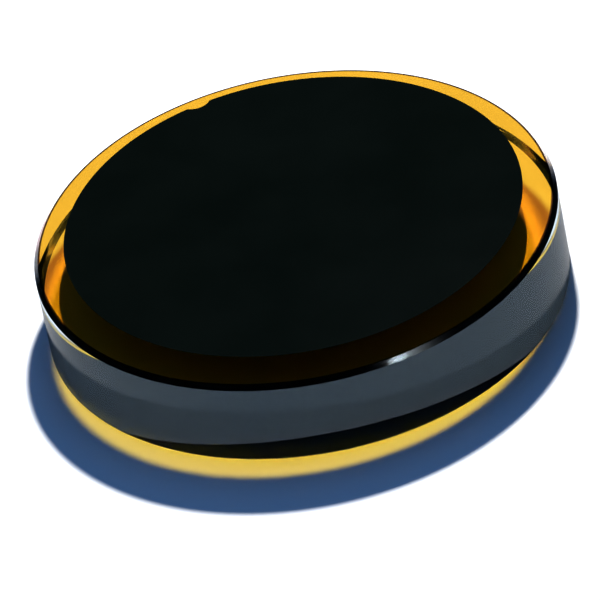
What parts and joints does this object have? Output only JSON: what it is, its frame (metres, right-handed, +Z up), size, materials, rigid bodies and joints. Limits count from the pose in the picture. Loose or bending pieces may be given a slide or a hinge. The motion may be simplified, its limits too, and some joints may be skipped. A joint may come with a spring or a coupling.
{
  "type": "coated optical window",
  "caption": "Thick round window of polished clear glass with bevelled edges, an off-centre black film on its upper face and an amber margin round it.",
  "frame": {"origin": "centre of the polished face that the disc lies on", "axes": "+Z up along the disc's axis, through the coated face; +Y the way the black film is shifted"},
  "size_m": [0.1, 0.1, 0.0175],
  "materials": {
    "clear_glass": "polished",
    "black_coating": "smooth opaque coating",
    "amber_coating": "polished transparent coating"
  },
  "bodies": {
    "root": {"glass_substrate": "clear_glass", "black_film": "black_coating", "amber_margin_film": "amber_coating"}
  },
  "joints": []
}
